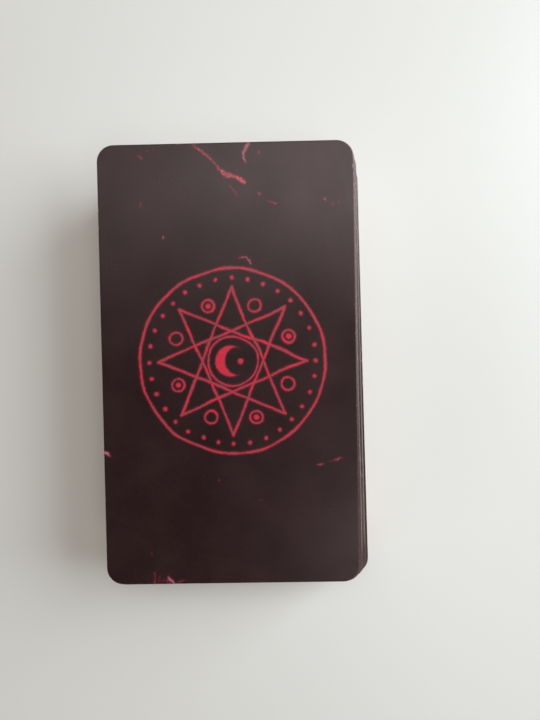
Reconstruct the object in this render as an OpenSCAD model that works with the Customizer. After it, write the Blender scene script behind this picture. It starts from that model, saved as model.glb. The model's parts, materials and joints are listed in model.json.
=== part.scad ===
// Tarot card deck, lying face down: a stack of loose cards, each its own solid.
// The cards lean and jog as they do when a shuffled deck is put down.
// Units are millimetres. The origin is the middle of the bottom card's underside.
// +Z is up, and +Y runs along the cards' long sides.

/* [Card] */
// Width of a card
card_w = 70; // [50:0.5:100]
// Length of a card
card_l = 121; // [80:0.5:160]
// Thickness of a card
card_t = 0.3; // [0.2:0.01:0.5]
// Radius of a card's corners
corner_r = 4.5; // [1:0.1:10]

/* [Deck] */
// Number of cards in the deck
card_count = 78; // [44:1:100]
// Number of pairs of cards that cling together in the lower half
pair_count = 18; // [0:1:20]
// Air between one card and the next
air_gap = 0.02; // [0.01:0.01:0.1]

/* [Lean] */
// How far the top card stands to the left of the bottom card
lean_left = 3.9; // [0:0.1:10]
// How far the top card stands behind the bottom card
lean_back = 3.5; // [0:0.1:10]
// Angle that the top card is turned clockwise from the bottom card
twist = 0.9; // [0:0.1:5]
// How sharply the lean gathers towards the top
lean_power = 2.5; // [1:0.5:4]

/* [Jogs] */
// Largest sideways jog of a single card
jog_x = 0.14; // [0:0.01:0.5]
// Largest lengthways jog of a single card
jog_y = 0.16; // [0:0.01:0.5]
// Largest angle that a single card is turned
jog_turn = 0.08; // [0:0.01:0.5]
// Largest jog of a packet of cards that moved together in the shuffle
packet_jog = 0.3; // [0:0.01:1]
// Number of cards in such a packet
packet_size = 7; // [2:1:20]
// Seed of the shuffle that the jogs come from
shuffle_seed = 47; // [1:1:99]

/* [Hidden] */
$fn = 64;
back_colour = "#3a2e2e";

// Height from the underside of one card to the underside of the next
card_pitch = card_t + air_gap;
last_card = card_count - 1;

// The bottom card stands alone, the pairs lie on it, and the rest are single cards.
// Cards are counted from 0 at the bottom.
node_count = card_count - pair_count;
function first_card(n) = n <= pair_count ? max(2 * n - 1, 0) : n + pair_count;
function cards_in(n) = n > 0 && n <= pair_count ? 2 : 1;

// Names give a card's number, counted from 1 at the bottom.
function number_name(k) = str(k + 1 < 10 ? "0" : "", k + 1);
function node_name(n) =
    n == 0 ? "bottom_card"
    : n == node_count - 1 ? "top_card"
    : cards_in(n) == 2 ? str("cards_", number_name(first_card(n)), "_", number_name(first_card(n) + 1))
    : str("card_", number_name(first_card(n)));

// Jogs of each card and each packet as shares of their largest values.
// The seeds of the five lists follow one another.
packet_count = ceil(card_count / packet_size);
jog_x_shares = rands(-1, 1, card_count, shuffle_seed);
jog_y_shares = rands(-1, 1, card_count, shuffle_seed + 1);
jog_turn_shares = rands(-1, 1, card_count, shuffle_seed + 2);
packet_x_shares = rands(-1, 1, packet_count, shuffle_seed + 3);
packet_y_shares = rands(-1, 1, packet_count, shuffle_seed + 4);

// The bottom card is the datum and the top card ends the lean, so neither is jogged.
function is_jogged(k) = k > 0 && k < last_card ? 1 : 0;
// Packets are counted from 0 at the top, and the top packet only leans.
function packet_of(k) = floor((last_card - k) / packet_size);
function packet_share(k, shares) = k > 0 && packet_of(k) > 0 ? shares[packet_of(k)] : 0;
function lean_share(k) = pow(k / last_card, lean_power);

// Where card k lies: its place, and the angle that it is turned
function card_x(k) =
    -lean_left * lean_share(k)
    + jog_x * is_jogged(k) * jog_x_shares[k]
    + packet_jog * packet_share(k, packet_x_shares);
function card_y(k) =
    lean_back * lean_share(k)
    + jog_y * is_jogged(k) * jog_y_shares[k]
    + packet_jog * packet_share(k, packet_y_shares);
function card_turn(k) =
    -twist * lean_share(k)
    + jog_turn * is_jogged(k) * jog_turn_shares[k];

// Outline of a card: a rectangle with round corners
module card_outline() {
    square([card_w - 2 * corner_r, card_l], center = true);
    square([card_w, card_l - 2 * corner_r], center = true);
    for (side = [-1, 1], end = [-1, 1])
        translate([side * (card_w / 2 - corner_r), end * (card_l / 2 - corner_r)])
            circle(r = corner_r);
}

// One card where it lies in the stack
module card(k) {
    translate([card_x(k), card_y(k), k * card_pitch])
        rotate([0, 0, card_turn(k)])
            linear_extrude(height = card_t)
                card_outline();
}

// The one or two cards of a node
module card_node(n) {
    color(back_colour)
        for (k = [first_card(n) : first_card(n) + cards_in(n) - 1])
            card(k);
}

for (n = [0 : node_count - 1])
    card_node(n);
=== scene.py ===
import functools
import json
import math
from collections import namedtuple

import bpy
import numpy as np
from mathutils import Euler, Matrix, Vector


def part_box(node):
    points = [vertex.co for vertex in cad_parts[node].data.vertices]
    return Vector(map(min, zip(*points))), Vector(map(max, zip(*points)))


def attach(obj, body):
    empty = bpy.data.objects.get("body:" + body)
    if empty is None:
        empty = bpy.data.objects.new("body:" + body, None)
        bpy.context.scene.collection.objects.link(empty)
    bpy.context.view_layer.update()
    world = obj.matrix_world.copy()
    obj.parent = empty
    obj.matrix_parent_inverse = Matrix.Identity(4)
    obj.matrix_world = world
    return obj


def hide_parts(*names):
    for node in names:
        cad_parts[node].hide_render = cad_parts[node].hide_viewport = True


# The looks of a tarot deck: printed cards with rolled, worn edges, lying back up on a pale table.
# The scene is in metres. Prints are drawn in millimetres from the middle of a card, with x to the right
# and y to the back, seen from the side that the print is on.
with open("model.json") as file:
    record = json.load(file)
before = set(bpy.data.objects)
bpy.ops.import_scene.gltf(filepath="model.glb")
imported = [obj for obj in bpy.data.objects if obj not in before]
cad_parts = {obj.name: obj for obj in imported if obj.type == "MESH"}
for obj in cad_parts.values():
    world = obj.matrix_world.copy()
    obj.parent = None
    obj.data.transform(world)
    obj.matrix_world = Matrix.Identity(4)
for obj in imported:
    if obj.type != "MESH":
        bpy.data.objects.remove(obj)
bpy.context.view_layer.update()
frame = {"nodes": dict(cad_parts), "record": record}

MM = 0.001
# Places within a micrometre are the same place: in millimetres, and in digits of a metre
SAME_PLACE, SAME_DIGITS = 0.001, 6

# Card sizes in millimetres, read off the bottom card, which lies square in the frame
BOTTOM_LOW, BOTTOM_HIGH = (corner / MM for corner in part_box("bottom_card"))
CARD_W, CARD_L, CARD_T = BOTTOM_HIGH - BOTTOM_LOW
BOTTOM_POINTS = [v.co / MM for v in frame["nodes"]["bottom_card"].data.vertices]
SIDE_END_Y = max(p.y for p in BOTTOM_POINTS if p.x > BOTTOM_HIGH.x - SAME_PLACE)
CORNER_R = BOTTOM_HIGH.y - SIDE_END_Y

# Colours of the prints, papers and table, linear
PRINT_BLACK = (0.0155, 0.0052, 0.0066, 1)
PRINT_BROWN = (0.0265, 0.0108, 0.0124, 1)
BACK_SHEEN = (1.0, 0.85, 0.86, 1)
PAPER_CORE = (0.64, 0.53, 0.46, 1)
PAPER_GREY = (0.29, 0.210, 0.190, 1)
RUBBED_BROWN = (0.100, 0.046, 0.045, 1)
EDGE_STAIN = (0.200, 0.055, 0.055, 1)
PARCHMENT = (0.55, 0.44, 0.29, 1)
PARCHMENT_DARK = (0.42, 0.31, 0.19, 1)
FACE_BROWN = (0.030, 0.017, 0.014, 1)
TABLE_WHITE = (0.80, 0.79, 0.765, 1)

# Inks: the colour of a line's middle where the ink is thin and where it is full, and that of its border
Ink = namedtuple("Ink", "thin full border")
ROUNDEL_RED = Ink((0.355, 0.056, 0.078, 1), (0.70, 0.027, 0.060, 1), (0.190, 0.003, 0.016, 1))
CRACK_RED = Ink((0.42, 0.115, 0.130, 1), (0.72, 0.062, 0.085, 1), (0.165, 0.012, 0.027, 1))
CHIP_PINK = Ink((0.34, 0.135, 0.160, 1), (0.56, 0.220, 0.240, 1), (0.130, 0.008, 0.022, 1))
FACE_RED = Ink((0.30, 0.055, 0.045, 1), (0.36, 0.032, 0.030, 1), FACE_BROWN)
FACE_DARK = Ink((0.065, 0.048, 0.040, 1), FACE_BROWN, FACE_BROWN)


# Fields: numbers that change over a surface

def calculate(operation, *values, clamp=False):
    """One Math node. Each value is a field or a plain number, and one at least is a field."""
    tree = next(v.tree for v in values if isinstance(v, Field))
    node = tree.nodes.new("ShaderNodeMath")
    node.operation = operation
    node.use_clamp = clamp
    for entry, value in zip(node.inputs, values):
        feed(entry, value)
    return Field(node.outputs[0])


class Field:
    """A number that changes over a surface. Sums of fields add Math nodes to their tree."""

    def __init__(self, socket):
        self.socket = socket
        self.tree = socket.id_data

    def __add__(self, other):
        return calculate("ADD", self, other)

    def __sub__(self, other):
        return calculate("SUBTRACT", self, other)

    def __rsub__(self, other):
        return calculate("SUBTRACT", other, self)

    def __mul__(self, other):
        return calculate("MULTIPLY", self, other)

    def __truediv__(self, other):
        return calculate("DIVIDE", self, other)

    def __mod__(self, other):
        return calculate("FLOORED_MODULO", self, other)

    def __abs__(self):
        return calculate("ABSOLUTE", self)


def feed(entry, value):
    """Links a field or a socket to a node's input, or sets the input to a plain value."""
    if isinstance(value, Field):
        value = value.socket
    if isinstance(value, bpy.types.NodeSocket):
        value.id_data.links.new(value, entry)
    else:
        entry.default_value = value


def nearest(*distances):
    return functools.reduce(functools.partial(calculate, "MINIMUM"), distances)


def farthest(*distances):
    return functools.reduce(functools.partial(calculate, "MAXIMUM"), distances)


def hypotenuse(x, y):
    return calculate("SQRT", calculate("MULTIPLY_ADD", x, x, y * y))


def rise(value, low, high):
    """0 at low, 1 at high and smooth between them; low may be the larger."""
    node = value.tree.nodes.new("ShaderNodeMapRange")
    node.interpolation_type = "SMOOTHSTEP"
    feed(node.inputs["Value"], value)
    feed(node.inputs["From Min"], low)
    feed(node.inputs["From Max"], high)
    return Field(node.outputs["Result"])


def point(x, y, z=0.0):
    """A vector socket from three fields or numbers. In noise, each z gives a pattern of its own."""
    tree = next(v.tree for v in (x, y, z) if isinstance(v, Field))
    node = tree.nodes.new("ShaderNodeCombineXYZ")
    for entry, value in zip(node.inputs, (x, y, z)):
        feed(entry, value)
    return node.outputs[0]


def noise(place, scale, detail=3.0, roughness=0.55, turn=0.0, stretch=1.0):
    """Noise around 0.5. Scale is features per millimetre where place is in millimetres.

    A stretch below 1 draws the features out into streaks, which turn sets the direction of.
    """
    tree = place.id_data
    if stretch != 1.0:
        mapping = tree.nodes.new("ShaderNodeMapping")
        feed(mapping.inputs["Vector"], place)
        mapping.inputs["Rotation"].default_value = (0, 0, turn)
        mapping.inputs["Scale"].default_value = (1, stretch, 1)
        place = mapping.outputs[0]
    node = tree.nodes.new("ShaderNodeTexNoise")
    feed(node.inputs["Vector"], place)
    node.inputs["Scale"].default_value = scale
    node.inputs["Detail"].default_value = detail
    node.inputs["Roughness"].default_value = roughness
    return Field(node.outputs["Fac"])


def attribute(tree, name):
    """A number that the mesh carries at its points."""
    node = tree.nodes.new("ShaderNodeAttribute")
    node.attribute_name = name
    return Field(node.outputs["Fac"])


# Where a Mix node's sockets for colours are, which have the same names as its sockets for numbers
MIX_SHARE, MIX_FIRST, MIX_SECOND, MIX_RESULT = 0, 6, 7, 2


def blend(share, first, second):
    """A colour that goes from first to second as share goes from 0 to 1."""
    node = share.tree.nodes.new("ShaderNodeMix")
    node.data_type = "RGBA"
    feed(node.inputs[MIX_SHARE], share)
    feed(node.inputs[MIX_FIRST], first)
    feed(node.inputs[MIX_SECOND], second)
    return node.outputs[MIX_RESULT]


# Node groups that the materials share

def new_group(name, inputs, outputs):
    """An empty group with number sockets: its tree, its inputs as fields, and its output node."""
    tree = bpy.data.node_groups.new(name, "ShaderNodeTree")
    for title in inputs:
        tree.interface.new_socket(title, in_out="INPUT", socket_type="NodeSocketFloat")
    for title in outputs:
        tree.interface.new_socket(title, in_out="OUTPUT", socket_type="NodeSocketFloat")
    entry = tree.nodes.new("NodeGroupInput")
    leave = tree.nodes.new("NodeGroupOutput")
    return tree, [Field(entry.outputs[title]) for title in inputs], leave


def place_group(tree, group, **values):
    """Puts a group into a tree, feeds its inputs by their names, and gives its outputs as fields."""
    node = tree.nodes.new("ShaderNodeGroup")
    node.node_tree = group
    for title, value in values.items():
        feed(node.inputs[title], value)
    return [Field(socket) for socket in node.outputs]


def place_on_card_group():
    """Millimetres from the middle of the card, millimetres in from its edge, and the card's number."""
    tree, _, leave = new_group("Place on card", [], ["X", "Y", "Inside", "Number"])
    uv = tree.nodes.new("ShaderNodeUVMap")
    uv.uv_map = "card"
    split = tree.nodes.new("ShaderNodeSeparateXYZ")
    feed(split.inputs[0], uv.outputs[0])
    x = (Field(split.outputs["X"]) - 0.5) * CARD_W
    y = (Field(split.outputs["Y"]) - 0.5) * CARD_L
    past_x = abs(x) - (CARD_W / 2 - CORNER_R)
    past_y = abs(y) - (CARD_L / 2 - CORNER_R)
    in_corner = hypotenuse(calculate("MAXIMUM", past_x, 0), calculate("MAXIMUM", past_y, 0))
    along_side = calculate("MINIMUM", farthest(past_x, past_y), 0)
    inside = CORNER_R - (in_corner + along_side)
    number = attribute(tree, "card_number")
    for entry, value in zip(leave.inputs, (x, y, inside, number)):
        feed(entry, value)
    return tree


def hand_wobble_group():
    """Moves a place a little, so that lines waver: by Drift in slow curves, by Shake in quick ones."""
    tree, (x, y, drift, shake), leave = new_group("Hand wobble", ["X", "Y", "Drift", "Shake"], ["X", "Y"])
    for title, value, layer in (("X", x, 3.1), ("Y", y, 7.9)):
        slow = noise(point(x, y, layer), scale=0.09, detail=1.0) - 0.5
        quick = noise(point(x, y, layer), scale=0.9, detail=2.0) - 0.5
        feed(leave.inputs[title], value + slow * drift + quick * shake)
    return tree


def ink_line_group():
    """Masks of a line's middle, its darker border and its full ink, from the distance past its side."""
    inputs = ["Distance", "X", "Y", "Ragged", "Patchy"]
    tree, fields, leave = new_group("Ink line", inputs, ["Middle", "Border", "Full"])
    distance, x, y, ragged, patchy = fields
    slow = noise(point(x, y, 1.7), scale=0.28, detail=2.0) - 0.5
    quick = noise(point(x, y, 5.3), scale=1.9, detail=3.0, roughness=0.65) - 0.5
    side = distance + (slow + quick) * ragged
    bare = rise(noise(point(x, y, 8.3), scale=1.3, detail=3.0, roughness=0.7), 0.58, 0.44)
    feed(leave.inputs["Middle"], rise(side, 0.10, -0.22) * (1 - bare * patchy))
    feed(leave.inputs["Border"], rise(side, patchy * 0.25 + 0.46, -0.05) * (1 - bare * patchy * 0.4))
    ink = noise(point(x, y, 9.1), scale=0.35, detail=4.0, roughness=0.6)
    feed(leave.inputs["Full"], rise(ink + rise(distance, -0.20, -0.65) * 0.3, 0.46, 0.74))
    return tree


def laminate_group():
    """Roughness and height of the matte film: fine grain, smudges from handling and faint scuffs."""
    tree, (x, y, number), leave = new_group("Laminate", ["X", "Y", "Number"], ["Roughness", "Height"])
    place = point(x, y, number * 2.3)
    grain = noise(place, scale=3.5, detail=3.0, roughness=0.6) - 0.5
    smudge = noise(place, scale=0.055, detail=3.0, roughness=0.6) - 0.5
    scratches = noise(place, scale=0.9, detail=2.0, roughness=0.5, turn=0.7, stretch=0.06)
    scuff = rise(scratches, 0.66, 0.80)
    feed(leave.inputs["Roughness"], grain * 0.10 + smudge * 0.16 - scuff * 0.03 + 0.31)
    feed(leave.inputs["Height"], grain + scuff * 0.1)
    return tree


# How far from the point where a card's sides would meet the corner's wear starts, and where it is full
CORNER_WEAR = (7.0, 2.0)
# The upper half's cards are barer, so lighter, in front of their middle, apart from the uppermost cards,
# which stay darker, and the front corners, which stay darker as painted shade. These are the cards'
# numbers, and the stretches of y, over which each comes in.
LIGHTER_CARDS, LIGHTER_Y = (42.0, 50.0), (-4.0, -26.0)
DARKER_TOP_CARDS, FRONT_SHADE_Y = (67.0, 71.0), (-46.0, -56.0)


def edge_wear_group():
    """Where handling has rubbed the print off: a thin line along the edge, nicks in it, and the corners.

    The second output is how far the rubbing goes down to clean paper, which is alike in cards that lie
    together. Towards the front corners it is held back, so they stay darker as painted shade.
    """
    tree, inputs, leave = new_group("Edge wear", ["X", "Y", "Inside", "Number"], ["Worn", "Bare with front shade"])
    x, y, inside, number = inputs
    place = point(x, y, number * 5.7)
    nicks = rise(noise(place, scale=0.55, detail=4.0, roughness=0.65), 0.56, 0.80)
    fray = noise(place, scale=2.8, detail=3.0, roughness=0.7)
    corner = rise(hypotenuse(abs(x) - CARD_W / 2, abs(y) - CARD_L / 2), *CORNER_WEAR)
    depth = nicks * 0.44 + corner * fray * 0.20 + fray * 0.08
    feed(leave.inputs["Worn"], rise(inside, depth + 0.06, depth - 0.02))
    rubbed = noise(point(x * 0.02, y * 0.02, number * 0.21), scale=1.0, detail=2.0, roughness=0.6)
    # The uppermost cards stay darker, and so do the front corners, where this is painted shade.
    top_cards_and_front_shade = farthest(rise(number, *DARKER_TOP_CARDS), rise(y, *FRONT_SHADE_Y))
    change = rise(number, *LIGHTER_CARDS) * 0.12 - top_cards_and_front_shade * 0.30
    feed(leave.inputs["Bare with front shade"], rise(rubbed + change * rise(y, *LIGHTER_Y), 0.36, 0.62))
    return tree


PLACE_ON_CARD = place_on_card_group()
HAND_WOBBLE = hand_wobble_group()
INK_LINE = ink_line_group()
LAMINATE = laminate_group()
EDGE_WEAR = edge_wear_group()


# Drawings: each gives the distance past the side of its nearest line, in millimetres

def turned_to_sector(x, y, count):
    """The place folded into half of one of count equal sectors, with the sector's middle along x."""
    angle = calculate("ARCTAN2", y, x)
    step = math.tau / count
    folded = abs((angle + step / 2) % step - step / 2)
    radius = hypotenuse(x, y)
    return radius * calculate("COSINE", folded), radius * calculate("SINE", folded)


def turned(x, y, angle):
    """The place as a drawing sees it that is turned counter-clockwise by an angle."""
    cosine, sine = math.cos(angle), math.sin(angle)
    return x * cosine + y * sine, y * cosine - x * sine


def ring(x, y, radius, half_width):
    return abs(hypotenuse(x, y) - radius) - half_width


def dot(x, y, radius):
    return hypotenuse(x, y) - radius


STAR_POINTS = 8


def star_polygon(x, y, radius, half_width):
    """The outline of an eight-pointed star, drawn with lines that join every third point."""
    across, aside = turned_to_sector(x, y, STAR_POINTS)
    near, far = math.cos(math.pi / STAR_POINTS), math.sin(math.pi / STAR_POINTS)
    middle = radius * far
    lines = [
        abs(across * near + aside * far - middle),
        abs(across * near - aside * far - middle),
        abs(across * far + aside * near - middle),
    ]
    return farthest(nearest(*lines), hypotenuse(x, y) - radius) - half_width


def crescent(x, y, radius, bite_radius, bite_x):
    """A disc that another disc, to the right of its middle, bites."""
    return farthest(dot(x, y, radius), bite_radius - hypotenuse(x - bite_x, y))


def beads(x, y, count, radius, bead_radius):
    """Dots spread evenly round a circle."""
    across, aside = turned_to_sector(x, y, count)
    return hypotenuse(across - radius, aside) - bead_radius


def rays(x, y, count, start, end, half_width):
    """Pointed rays between two radii, widest at the start."""
    across, aside = turned_to_sector(x, y, count)
    taper = aside - (end - across) * (half_width / (end - start))
    return farthest(taper, start - across)


def stroke(place, points):
    """A line through points, each an x, a y and the line's half width there."""
    tree = place.id_data
    pieces = []
    for (*start, start_half), (*end, end_half) in zip(points, points[1:]):
        run = Vector((end[0] - start[0], end[1] - start[1], 0))
        from_start = tree.nodes.new("ShaderNodeVectorMath")
        from_start.operation = "SUBTRACT"
        feed(from_start.inputs[0], place)
        from_start.inputs[1].default_value = (*start, 0)
        along = tree.nodes.new("ShaderNodeVectorMath")
        along.operation = "DOT_PRODUCT"
        feed(along.inputs[0], from_start.outputs[0])
        along.inputs[1].default_value = run / run.length_squared
        share = calculate("ADD", Field(along.outputs["Value"]), 0, clamp=True)
        on_line = tree.nodes.new("ShaderNodeVectorMath")
        on_line.operation = "SCALE"
        on_line.inputs[0].default_value = run
        feed(on_line.inputs["Scale"], share)
        away = tree.nodes.new("ShaderNodeVectorMath")
        away.operation = "DISTANCE"
        feed(away.inputs[0], from_start.outputs[0])
        feed(away.inputs[1], on_line.outputs[0])
        half_width = share * (end_half - start_half) + start_half
        pieces.append(Field(away.outputs["Value"]) - half_width)
    return nearest(*pieces)


# The roundel on the back: where its middle sits, and its lines' half widths
ROUNDEL_X, ROUNDEL_Y = 1.1, 0.9
LINE_HALF = 0.36
FINE_LINE_HALF = LINE_HALF * 0.8
# The circles that its ring, beads, star points and planets lie on, from the outside in
RING_R, BEAD_RING_R, STAR_R, PLANET_RING_R = 25.4, 22.8, 20.4, 16.6
BEAD_COUNT, BEAD_R = 32, 0.55
PLANET_COUNT, PLANET_R, PLANET_DOT_R = STAR_POINTS, 1.7, 0.75
# The crescent in its middle, the disc that bites it, and the small star beside it
MOON_RING_R, MOON_R, MOON_X = 6.9, 4.4, -0.5
MOON_BITE_R, MOON_BITE_X = 3.9, 2.2
MOON_STAR_R, MOON_STAR_X = 0.75, 2.1

# Red cracks in the back's print: an x, a y and a half width for each point
CRACKS = (
    ((-9.3, 60.8, 0.12), (-4.9, 57.0, 0.15), (-2.5, 54.8, 0.02), (-1.1, 53.0, 0.22)),
    ((-1.1, 53.0, 0.22), (0.7, 51.5, 0.60), (2.9, 51.2, 0.40), (4.5, 50.2, 0.48), (5.3, 49.5, 0.30)),
    ((0.7, 51.5, 0.35), (1.7, 50.6, -0.05)),
)
# Chips where the print has come off down to the paper, with a red rim. Where the half width is below
# zero, hardly more than the rim shows.
CHIPS = (
    ((6.4, 59.8, 0.38), (5.5, 58.3, 0.36), (5.0, 57.1, 0.30), (5.7, 54.9, 0.05)),
    ((9.2, 57.8, 0.10), (9.5, 57.4, 0.10)),
    ((1.3, 48.8, -0.02), (3.1, 46.4, 0.04)),
    ((9.1, 46.6, 0.05), (9.3, 46.3, 0.05)),
    ((11.8, 44.4, 0.00), (13.8, 43.6, 0.08)),
    ((27.1, 44.6, 0.36), (27.3, 44.3, 0.36)),
    ((28.8, 43.4, 0.00), (29.4, 43.0, 0.08)),
    ((30.6, 43.7, -0.10), (31.0, 43.7, -0.05)),
    ((-23.6, 57.4, 0.05), (-22.8, 56.7, 0.15)),
    ((-21.2, 58.7, 0.00), (-21.0, 58.5, 0.00)),
    ((-23.2, 44.5, 0.00), (-23.3, 43.6, 0.05)),
    ((-17.4, 35.3, 0.12), (-17.3, 34.9, 0.12)),
    ((3.5, 29.1, 0.10), (5.3, 29.3, 0.18), (5.7, 28.6, 0.12)),
    ((6.3, 28.6, 0.08), (6.5, 27.5, 0.20)),
    ((23.7, -28.1, -0.10), (24.7, -27.9, 0.14), (25.7, -27.8, -0.05)),
    ((27.1, -27.2, -0.08), (28.7, -26.7, 0.16), (30.4, -26.2, 0.14), (31.4, -26.0, -0.20)),
    ((-3.3, -31.7, 0.00), (-3.3, -31.9, 0.00)),
    ((7.9, -37.5, -0.02), (8.3, -37.5, -0.02)),
    ((-22.4, -52.1, -0.05), (-22.4, -52.4, -0.05)),
    ((-34.8, -23.7, 0.40), (-33.9, -24.0, 0.42), (-33.5, -24.7, 0.12)),
    ((-21.8, -57.5, 0.18), (-21.7, -58.8, 0.02), (-21.9, -60.6, 0.08)),
    ((-20.6, -58.5, 0.02), (-20.6, -59.4, 0.02)),
    ((-18.0, -58.9, 0.42), (-17.2, -59.6, 0.40), (-16.2, -60.8, 0.25)),
    ((-21.7, -59.6, -0.05), (-19.3, -59.6, 0.04), (-18.2, -59.4, -0.05)),
    ((-19.0, -59.2, -0.10), (-18.0, -60.4, -0.05)),
    ((-17.2, -58.9, -0.15), (-16.3, -59.8, -0.08)),
    ((-15.1, -60.0, 0.02), (-13.8, -59.6, 0.06)),
)

# How far apart specks can lie, and the stretch of y over which they grow to their full size
SPECK_SPACING = 6.25
SPECKS_RISE_Y = (10.0, 58.0)


def roundel(x, y):
    """A beaded ring, a star with planets between its points, and a crescent in the middle."""
    x, y = x - ROUNDEL_X, y - ROUNDEL_Y
    between_x, between_y = turned(x, y, math.pi / PLANET_COUNT)
    planet_x, planet_y = turned_to_sector(between_x, between_y, PLANET_COUNT)
    return nearest(
        ring(x, y, RING_R, LINE_HALF),
        beads(x, y, BEAD_COUNT, BEAD_RING_R, BEAD_R),
        star_polygon(x, y, STAR_R, LINE_HALF),
        ring(planet_x - PLANET_RING_R, planet_y, PLANET_R, FINE_LINE_HALF),
        beads(between_x, between_y, PLANET_COUNT // 2, PLANET_RING_R, PLANET_DOT_R),
        ring(x, y, MOON_RING_R, FINE_LINE_HALF),
        crescent(x - MOON_X, y, MOON_R, MOON_BITE_R, MOON_BITE_X),
        dot(x - MOON_STAR_X, y, MOON_STAR_R),
    )


def strokes(x, y, lines):
    """Several lines, each a list of points as in stroke."""
    place = point(x, y)
    return nearest(*(stroke(place, points) for points in lines))


def specks(x, y):
    """Small faint flakes, most of them near the card's back end."""
    tree = x.tree
    cells = tree.nodes.new("ShaderNodeTexVoronoi")
    cells.voronoi_dimensions = "2D"
    feed(cells.inputs["Vector"], point(x, y))
    cells.inputs["Scale"].default_value = 1 / SPECK_SPACING
    lot = tree.nodes.new("ShaderNodeSeparateXYZ")
    feed(lot.inputs[0], cells.outputs["Color"])
    near_end = rise(y, *SPECKS_RISE_Y)
    size = Field(lot.outputs["X"]) * (near_end * 0.9 + 0.1) - 1.0
    return Field(cells.outputs["Distance"]) * SPECK_SPACING - size


# Materials

FILM_IOR = 1.5
# How far from the deck's middle the table starts to fade, and where it is gone, in metres
TABLE_FADE_START, TABLE_FADE_END = 0.22, 0.65


def new_material(name):
    """A material with only its Principled shader: the material, its tree and the shader."""
    material = bpy.data.materials.new(name)
    material.use_nodes = True
    tree = material.node_tree
    return material, tree, tree.nodes["Principled BSDF"]


def add_bump(shader, height, distance, strength):
    """Feeds a height field, in units of distance metres, to the shader's normal."""
    bump = height.tree.nodes.new("ShaderNodeBump")
    bump.inputs["Distance"].default_value = distance
    bump.inputs["Strength"].default_value = strength
    feed(bump.inputs["Height"], height)
    feed(shader.inputs["Normal"], bump.outputs[0])


def inked(colour, ink, distance, x, y, ragged, patchy):
    """Draws lines over a colour, from the distance past their sides."""
    middle, border, full = place_group(
        distance.tree, INK_LINE, Distance=distance, X=x, Y=y, Ragged=ragged, Patchy=patchy
    )
    bordered = blend(border * 0.9, colour, ink.border)
    return blend(middle * 0.96, bordered, blend(full, ink.thin, ink.full))


def laminated(shader, x, y, number):
    """Gives a printed side its matte film."""
    roughness, height = place_group(x.tree, LAMINATE, X=x, Y=y, Number=number)
    feed(shader.inputs["Roughness"], roughness)
    add_bump(shader, height, distance=0.006 * MM, strength=0.5)
    shader.inputs["IOR"].default_value = FILM_IOR


def back_print():
    """Near-black brown with a red roundel, cracks, chips and specks."""
    material, tree, shader = new_material("card back")
    x, y, inside, number = place_group(tree, PLACE_ON_CARD)
    drawn_x, drawn_y = place_group(tree, HAND_WOBBLE, X=x, Y=y, Drift=1.4, Shake=0.3)
    torn_x, torn_y = place_group(tree, HAND_WOBBLE, X=x, Y=y, Drift=0.0, Shake=0.9)
    clouds = noise(point(x, y, 2.0), scale=0.06, detail=5.0, roughness=0.62)
    fibres = noise(point(x, y, 4.0), scale=1.4, detail=3.0, roughness=0.6)
    colour = blend(rise(clouds * 0.75 + fibres * 0.25, 0.36, 0.66), PRINT_BLACK, PRINT_BROWN)
    chips = nearest(strokes(torn_x, torn_y, CHIPS), specks(torn_x, torn_y))
    colour = inked(colour, CHIP_PINK, chips, x, y, ragged=0.8, patchy=0.5)
    cracks = strokes(torn_x, torn_y, CRACKS)
    colour = inked(colour, CRACK_RED, cracks, x, y, ragged=1.0, patchy=0.6)
    lines = roundel(drawn_x, drawn_y)
    colour = inked(colour, ROUNDEL_RED, lines, x, y, ragged=0.45, patchy=0.1)
    worn, bare = place_group(tree, EDGE_WEAR, X=x, Y=y, Inside=inside, Number=number)
    rubbed = blend(bare, RUBBED_BROWN, PAPER_GREY)
    feed(shader.inputs["Base Color"], blend(worn * 0.85, colour, rubbed))
    laminated(shader, x, y, number)
    shader.inputs["Specular Tint"].default_value = BACK_SHEEN
    return material


# A face's parts in millimetres: its frame's two lines, as inset and half width, and its emblem's middle
FRAME_LINES = ((4.2, 0.45), (5.6, 0.16))
EMBLEM_Y = 10.0
# Its waves: where each lies, how far they reach to the sides, and their height, quickness and half width
WAVES_Y = (-30.0, -33.2, -36.4)
WAVES_HALF_W = 28.4
WAVE_HEIGHT, WAVE_QUICKNESS, WAVE_HALF = 1.1, 0.75, 0.28
# Its empty title box: the box's middle, half width and half height, and its line's half width
TITLE_Y, TITLE_HALF_W, TITLE_HALF_H, TITLE_LINE_HALF = -48.0, 20.0, 3.6, 0.25


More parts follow.
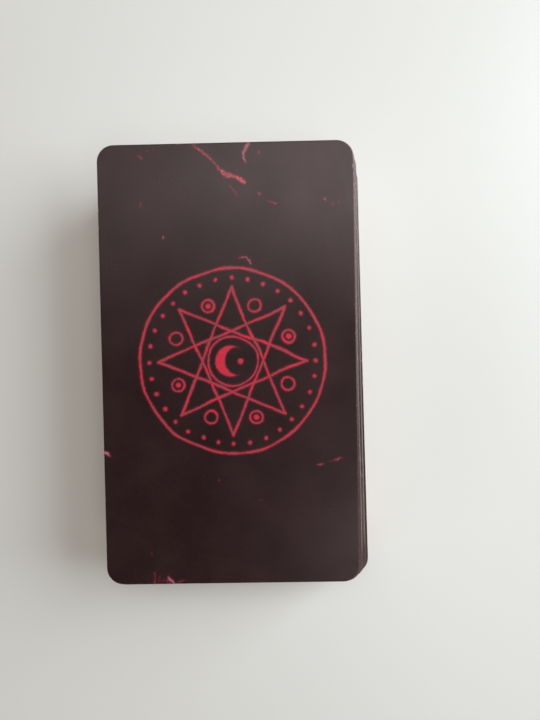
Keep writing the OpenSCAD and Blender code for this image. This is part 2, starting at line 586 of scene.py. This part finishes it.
def face_print(name, emblem):
    """Aged parchment with a double frame, an emblem, waves and an empty title box."""
    material, tree, shader = new_material(name)
    x, y, inside, number = place_group(tree, PLACE_ON_CARD)
    drawn_x, drawn_y = place_group(tree, HAND_WOBBLE, X=x, Y=y, Drift=0.7, Shake=0.15)
    age = noise(point(x, y, 6.0), scale=0.07, detail=5.0, roughness=0.6)
    colour = blend(rise(age, 0.34, 0.70), PARCHMENT, PARCHMENT_DARK)
    wave = calculate("SINE", drawn_x * WAVE_QUICKNESS) * WAVE_HEIGHT
    waves = nearest(*(abs(drawn_y - level - wave) - WAVE_HALF for level in WAVES_Y))
    waves = farthest(waves, abs(drawn_x) - WAVES_HALF_W)
    title = farthest(abs(drawn_x) - TITLE_HALF_W, abs(drawn_y - TITLE_Y) - TITLE_HALF_H)
    title_box = abs(title) - TITLE_LINE_HALF
    frame_lines = nearest(*(abs(inside - inset) - half_width for inset, half_width in FRAME_LINES))
    red, dark = emblem(drawn_x, drawn_y - EMBLEM_Y)
    colour = inked(colour, FACE_RED, nearest(red, waves), x, y, ragged=0.3, patchy=0.1)
    colour = inked(colour, FACE_DARK, nearest(dark, title_box, frame_lines), x, y, ragged=0.3, patchy=0.1)
    worn, bare = place_group(tree, EDGE_WEAR, X=x, Y=y, Inside=inside, Number=number)
    rubbed = blend(bare, PAPER_GREY, PAPER_CORE)
    feed(shader.inputs["Base Color"], blend(worn * 0.8, colour, rubbed))
    laminated(shader, x, y, number)
    return material


def sun(x, y):
    """The red and the dark lines of a sun with twelve rays."""
    disc = dot(x, y, radius=7.4)
    beams = rays(x, y, count=12, start=11.6, end=23.5, half_width=2.3)
    rim = ring(x, y, radius=9.6, half_width=0.35)
    sparks = beads(x, y, count=24, radius=25.2, bead_radius=0.5)
    return nearest(disc, beams), nearest(rim, sparks)


def moon(x, y):
    """The red and the dark lines of a crescent that holds a star."""
    star_x = x - 8.4
    sickle = crescent(x, y, radius=14.0, bite_radius=11.6, bite_x=6.2)
    star_heart = dot(star_x, y, radius=1.9)
    star = star_polygon(star_x, y, radius=5.0, half_width=0.25)
    sky = ring(x, y, radius=18.0, half_width=0.35)
    sparks = beads(x, y, count=20, radius=21.4, bead_radius=0.6)
    return nearest(sickle, star_heart), nearest(sky, sparks, star)


def coin(x, y):
    """The red and the dark lines of a coin with a star."""
    band = ring(x, y, radius=18.2, half_width=1.1)
    star = star_polygon(x, y, radius=14.4, half_width=0.5)
    outer_rim = ring(x, y, radius=20.8, half_width=0.3)
    inner_rim = ring(x, y, radius=15.6, half_width=0.3)
    sparks = beads(x, y, count=24, radius=23.0, bead_radius=0.55)
    return nearest(band, star), nearest(outer_rim, inner_rim, sparks)


def cut_edge():
    """Pale pressed paper between two dark lines of print, greyer where hands have been."""
    material, tree, shader = new_material("cut card edge")
    height = attribute(tree, "edge_height")
    number = attribute(tree, "card_number")
    rest = tree.nodes.new("ShaderNodeTexCoord")
    split = tree.nodes.new("ShaderNodeSeparateXYZ")
    feed(split.inputs[0], rest.outputs["Object"])
    x, y, z = (Field(socket) / MM for socket in split.outputs)
    lot = tree.nodes.new("ShaderNodeTexWhiteNoise")
    lot.noise_dimensions = "1D"
    feed(lot.inputs["W"], number)
    tone = Field(lot.outputs["Value"])
    fibres = noise(point(x, y, z * 4.0), scale=2.2, detail=4.0, roughness=0.65)
    grime = noise(point(x, y, z), scale=0.10, detail=4.0, roughness=0.6)
    paper = blend(rise(grime * 0.4 + tone * 0.6 + fibres * 0.3, 0.35, 1.0), PAPER_CORE, PAPER_GREY)
    stain = noise(point(x * 0.5, y, number * 9.7), scale=0.05, detail=3.0)
    paper = blend(rise(stain, 0.54, 0.70) * 0.6, paper, EDGE_STAIN)
    from_middle = abs(height - 0.5)
    print_line = rise(from_middle + (fibres - 0.5) * 0.22, 0.28, 0.44)
    feed(shader.inputs["Base Color"], blend(print_line * 0.85, paper, PRINT_BROWN))
    shader.inputs["Roughness"].default_value = 0.75
    add_bump(shader, fibres, distance=0.02 * MM, strength=0.6)
    return material


def table_top():
    """A pale, smooth table that fades into the backdrop away from the deck."""
    material, tree, shader = new_material("table top")
    rest = tree.nodes.new("ShaderNodeTexCoord")
    cloud = noise(rest.outputs["Object"], scale=7.0, detail=3.0)
    feed(shader.inputs["Roughness"], cloud * 0.10 + 0.30)
    shader.inputs["Base Color"].default_value = TABLE_WHITE
    away = tree.nodes.new("ShaderNodeVectorMath")
    away.operation = "LENGTH"
    feed(away.inputs[0], rest.outputs["Object"])
    feed(shader.inputs["Alpha"], rise(Field(away.outputs["Value"]), TABLE_FADE_END, TABLE_FADE_START))
    return material


# Meshes

# A card's section from the back to the face: inset from the outline, share of the thickness, and inset
# of the same line when the card is laid out flat for its picture. The die rolls the back's edge over.
SECTION = (
    (0.450, 1.00, 0.45),
    (0.110, 1.00, 0.11),
    (0.035, 0.95, -0.10),
    (0.000, 0.76, -0.35),
    (0.000, 0.16, -0.35),
    (0.020, 0.04, -0.10),
    (0.070, 0.00, 0.07),
    (0.450, 0.00, 0.45),
)
BACK, EDGE, FACE = range(3)
SECTION_PARTS = (BACK, BACK, BACK, EDGE, FACE, FACE, FACE)
CORNER_STEPS = 8
SIDE_STEPS = 10
ACROSS_STEPS = 8

# How far the top card's middle stands above its edges; the cards below bow less and less
BOW = 0.20

# A card laid out flat in a picture: its back and face side by side, as shares of the picture, with
# a margin around each in millimetres, and above them its edge, cut into rows
PICTURE_MIDDLES = {BACK: (0.25, 0.43), FACE: (0.75, 0.43)}
PICTURE_W, PICTURE_L = 0.47, 0.84
PICTURE_MARGIN = 0.5
EDGE_ROWS = 4
EDGE_START_V, EDGE_ROW_V, EDGE_STRIP_V = 0.88, 0.028, 0.018
EDGE_MARGIN_U = 0.01

# A point of a card's mesh: its place, its height as a share of the thickness, and its place in that picture
Spot = namedtuple("Spot", "x y height picture_x picture_y")
# A panel of a card's mesh: the part that it belongs to, its corners, and where they lie in that picture
Panel = namedtuple("Panel", "part corners picture")


def half_outline(inset):
    """The right half of a card's outline from front to back, in millimetres."""
    radius = CORNER_R - inset
    middle = Vector((CARD_W / 2 - CORNER_R, CARD_L / 2 - CORNER_R))
    turns = [math.pi / 2 * step / CORNER_STEPS for step in range(CORNER_STEPS + 1)]
    back = [(middle.x + radius * math.cos(turn), middle.y + radius * math.sin(turn)) for turn in turns]
    front = [(x, -y) for x, y in reversed(back)]
    side_x = middle.x + radius
    side = [(side_x, middle.y * (2 * step / SIDE_STEPS - 1)) for step in range(1, SIDE_STEPS)]
    return front + side + back


def whole_outline(inset):
    """A card's outline, counter-clockwise from its front, in millimetres."""
    right = half_outline(inset)
    return right + [(-x, y) for x, y in reversed(right)]


def card_spots():
    """The points of one card, in millimetres from its middle."""
    spots = []
    for inset, height, picture_inset in SECTION:
        for place, picture_place in zip(whole_outline(inset), whole_outline(picture_inset)):
            spots.append(Spot(*place, height, *picture_place))
    for inset, height, _ in (SECTION[0], SECTION[-1]):
        for x, y in half_outline(inset):
            for step in range(1, ACROSS_STEPS):
                inner_x = x * (1 - 2 * step / ACROSS_STEPS)
                spots.append(Spot(inner_x, y, height, inner_x, y))
    return spots


def side_picture(part, corners, spots):
    """Where the corners of a back or face panel lie in the card's picture."""
    u, v = PICTURE_MIDDLES[part]
    across = PICTURE_W / (CARD_W + 2 * PICTURE_MARGIN)
    along = PICTURE_L / (CARD_L + 2 * PICTURE_MARGIN)
    return [(u + spots[i].picture_x * across, v + spots[i].picture_y * along) for i in corners]


def edge_picture(step, count):
    """Where one step of the edge lies in the card's picture."""
    row_steps = math.ceil(count / EDGE_ROWS)
    row, place = divmod(step, row_steps)
    row_u = 1 - 2 * EDGE_MARGIN_U
    left, right = (EDGE_MARGIN_U + row_u * (place + side) / row_steps for side in (0, 1))
    bottom = EDGE_START_V + row * EDGE_ROW_V
    top = bottom + EDGE_STRIP_V
    return [(left, top), (left, bottom), (right, bottom), (right, top)]


def card_panels(spots):
    """The panels of one card, between its points."""
    panels = []
    count = len(whole_outline(0))
    rungs = count // 2
    for line, part in enumerate(SECTION_PARTS):
        upper, lower = line * count, (line + 1) * count
        for step in range(count):
            after = (step + 1) % count
            corners = [upper + step, lower + step, lower + after, upper + after]
            picture = edge_picture(step, count) if part == EDGE else side_picture(part, corners, spots)
            panels.append(Panel(part, corners, picture))
    inner_start = len(SECTION) * count
    for part, ring_start in ((BACK, 0), (FACE, (len(SECTION) - 1) * count)):
        rows = []
        for rung in range(rungs):
            inner = range(inner_start, inner_start + ACROSS_STEPS - 1)
            rows.append([ring_start + rung, *inner, ring_start + count - 1 - rung])
            inner_start += ACROSS_STEPS - 1
        for row, next_row in zip(rows, rows[1:]):
            for step in range(ACROSS_STEPS):
                corners = [row[step], next_row[step], next_row[step + 1], row[step + 1]]
                corners = corners if part == BACK else corners[::-1]
                panels.append(Panel(part, corners, side_picture(part, corners, spots)))
    return panels


def card_places(node):
    """Where each card of a CAD node lies, from the bottom up: its underside's middle and its turn.

    A card has two levels, its underside and its top. It is turned as the long axis of its outline is.
    """
    points = np.array([v.co for v in frame["nodes"][node].data.vertices])
    levels = np.unique(points[:, 2].round(SAME_DIGITS))
    places = []
    for bottom in levels[::2]:
        outline = points[np.abs(points[:, 2] - bottom) < SAME_PLACE * MM][:, :2]
        middle = (outline.min(axis=0) + outline.max(axis=0)) / 2
        x, y = (outline - middle).T
        turn = 0.5 * math.atan2(-2 * (x @ y), y @ y - x @ x)
        places.append(Matrix.Translation((*middle, bottom)) @ Matrix.Rotation(turn, 4, "Z"))
    return places


def bow(x, y, number):
    """How far a point of a card stands above the flat, in millimetres."""
    crown = BOW * (1 - (2 * x / CARD_W) ** 2) * (1 - (2 * y / CARD_L) ** 2)
    return crown * number / (TOTAL_CARDS - 1)


def printed_cards(node, first_number, materials):
    """The one or two cards of a node as one piece, with their prints and edges."""
    places = PLACES[node]
    points, numbers, panels = [], [], []
    for index, place in enumerate(places):
        number = first_number + index
        for spot in CARD_SPOTS:
            lift = spot.height * CARD_T + bow(spot.x, spot.y, number)
            points.append(place @ (Vector((spot.x, spot.y, lift)) * MM))
            numbers.append(number)
        for panel in CARD_PANELS:
            corners = [index * len(CARD_SPOTS) + i for i in panel.corners]
            picture = [((index + u) / len(places), v) for u, v in panel.picture]
            panels.append(Panel(panel.part, corners, picture))
    mesh = bpy.data.meshes.new(f"printed_{node}")
    mesh.from_pydata(points, [], [panel.corners for panel in panels])
    for material in materials:
        mesh.materials.append(material)
    mesh.polygons.foreach_set("material_index", [panel.part for panel in panels])
    mesh.polygons.foreach_set("use_smooth", [True] * len(panels))
    heights = [spot.height for spot in CARD_SPOTS] * len(places)
    mesh.attributes.new("edge_height", "FLOAT", "POINT").data.foreach_set("value", heights)
    mesh.attributes.new("card_number", "FLOAT", "POINT").data.foreach_set("value", numbers)
    prints = [(spot.x / CARD_W + 0.5, spot.y / CARD_L + 0.5) for spot in CARD_SPOTS] * len(places)
    card_map = mesh.uv_layers.new(name="card")
    card_map.data.foreach_set("uv", [c for panel in panels for i in panel.corners for c in prints[i]])
    picture_map = mesh.uv_layers.new(name="OFBake")
    picture_map.data.foreach_set("uv", [c for panel in panels for place in panel.picture for c in place])
    mesh.uv_layers.active = card_map
    piece = bpy.data.objects.new(f"printed_{node}", mesh)
    bpy.context.collection.objects.link(piece)
    return piece


CARD_SPOTS = card_spots()
CARD_PANELS = card_panels(CARD_SPOTS)
NODES = [part["node"] for part in frame["record"]["subparts"]]
NODES.sort(key=lambda node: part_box(node)[0].z)
BODY_OF = {node: body for body, nodes in frame["record"]["behaviour"]["bodies"].items() for node in nodes}
PLACES = {node: card_places(node) for node in NODES}
TOTAL_CARDS = sum(len(places) for places in PLACES.values())

card_back = back_print()
card_edge = cut_edge()
card_faces = {
    "top_card": face_print("card face with sun", sun),
    "bottom_card": face_print("card face with moon", moon),
}
common_face = face_print("card face with coin", coin)
cards_below = 0
for node in NODES:
    piece = printed_cards(node, cards_below, (card_back, card_edge, card_faces.get(node, common_face)))
    cards_below += len(PLACES[node])
    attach(piece, BODY_OF[node])
    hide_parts(node)


# Table, lights and camera

# How far the table lies under the bottom card, in millimetres
TABLE_GAP = 0.02
UNIT_CORNERS = ((-1, -1, 0), (1, -1, 0), (1, 1, 0), (-1, 1, 0))
table_mesh = bpy.data.meshes.new("table")
table_mesh.from_pydata([Vector(corner) * TABLE_FADE_END for corner in UNIT_CORNERS], [], [(0, 1, 2, 3)])
table_mesh.materials.append(table_top())
table = bpy.data.objects.new("table", table_mesh)
table.location.z = -TABLE_GAP * MM
bpy.context.collection.objects.link(table)

# Colours of the lights and the room
WHITE = (1, 1, 1)
SKY_BLUE = (0.88, 0.96, 1.0)
ROOM_GLOW = (1.0, 0.78, 0.57, 1)
ROOM_GLOW_STRENGTH = 0.14
BACKDROP_GREY = (0.76, 0.755, 0.74, 1)


def add_light(name, azimuth, elevation, distance, size, power, colour=WHITE):
    """A square soft light that faces the deck, in degrees and metres. Azimuth runs from +X towards +Y."""
    light = bpy.data.lights.new(name, "AREA")
    light.size = size
    light.energy = power
    light.color = colour
    turn = math.radians(azimuth)
    towards = Vector((math.cos(turn), math.sin(turn), math.tan(math.radians(elevation)))).normalized()
    lamp = bpy.data.objects.new(name, light)
    lamp.location = towards * distance
    lamp.rotation_euler = towards.to_track_quat("Z", "Y").to_euler()
    lamp.visible_camera = False
    bpy.context.collection.objects.link(lamp)


add_light("window light", azimuth=16, elevation=30, distance=0.8, size=0.70, power=8.6, colour=SKY_BLUE)
add_light("skylight", azimuth=83, elevation=66, distance=0.9, size=0.30, power=0.85)
add_light("left skylight", azimuth=130, elevation=62, distance=0.9, size=0.30, power=0.40)
add_light("ceiling light", azimuth=48, elevation=63, distance=0.9, size=0.30, power=0.70)
add_light("front light", azimuth=-56, elevation=59, distance=0.9, size=0.30, power=0.55)
add_light("low fill light", azimuth=215, elevation=12, distance=1.0, size=0.60, power=1.4)

# The room's dim glow lights the deck, and a plain backdrop stands behind it
world = bpy.data.worlds.new("pale room")
world.use_nodes = True
room = world.node_tree
glow = room.nodes["Background"]
glow.inputs["Color"].default_value = ROOM_GLOW
glow.inputs["Strength"].default_value = ROOM_GLOW_STRENGTH
backdrop = room.nodes.new("ShaderNodeBackground")
backdrop.inputs["Color"].default_value = BACKDROP_GREY
seen = room.nodes.new("ShaderNodeLightPath")
choice = room.nodes.new("ShaderNodeMixShader")
feed(choice.inputs[0], seen.outputs["Is Camera Ray"])
feed(choice.inputs[1], glow.outputs[0])
feed(choice.inputs[2], backdrop.outputs[0])
feed(room.nodes["World Output"].inputs["Surface"], choice.outputs[0])
bpy.context.scene.world = world

# The camera's place in millimetres and turn in degrees, from the top card's corners in the photograph
CAMERA_PLACE = (9.35, 7.42, 173.30)
CAMERA_TURN = (-1.210, 0.690, -1.985)
# Its focal length and the photograph's height in pixels, and its sensor's size in millimetres
FOCAL_PIXELS, IMAGE_HEIGHT = 541.0, 720.0
SENSOR_SIZE = 36.0
camera_data = bpy.data.cameras.new("camera")
camera_data.sensor_width = SENSOR_SIZE
camera_data.lens = SENSOR_SIZE * FOCAL_PIXELS / IMAGE_HEIGHT
camera_data.clip_start = 1 * MM
camera = bpy.data.objects.new("camera", camera_data)
camera.location = Vector(CAMERA_PLACE) * MM
camera.rotation_euler = Euler([math.radians(turn) for turn in CAMERA_TURN])
bpy.context.collection.objects.link(camera)
bpy.context.scene.camera = camera
bpy.context.scene.view_settings.view_transform = "Standard"
